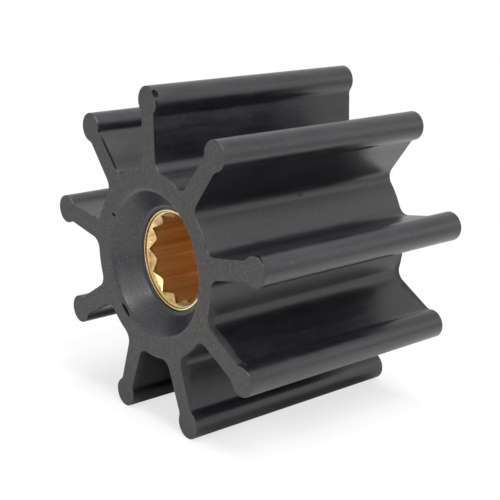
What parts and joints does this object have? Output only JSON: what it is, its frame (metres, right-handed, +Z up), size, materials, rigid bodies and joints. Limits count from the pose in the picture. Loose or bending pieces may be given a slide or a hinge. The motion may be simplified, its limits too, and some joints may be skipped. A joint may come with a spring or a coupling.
{
  "type": "flexible pump impeller",
  "caption": "Flexible rubber impeller for a raw-water pump: straight radial blades with round tip beads on a dished hub, moulded round a splined brass bush.",
  "frame": {"origin": "on the shaft's axis, halfway between the two end faces", "axes": "+Y along the shaft's axis, from one end face to the other; +Z up, along one blade; +X completes the right-handed frame"},
  "size_m": [0.064, 0.0474, 0.0632],
  "materials": {
    "black_rubber": "moulded black nitrile or chloroprene rubber, satin on the blades and hub, dull and speckled on the trimmed end faces",
    "bush_brass": "turned and broached brass, bright on the lead-in and the teeth, warmer in the bore"
  },
  "bodies": {
    "root": {"impeller_body": "black_rubber", "splined_bush": "bush_brass"}
  },
  "joints": []
}
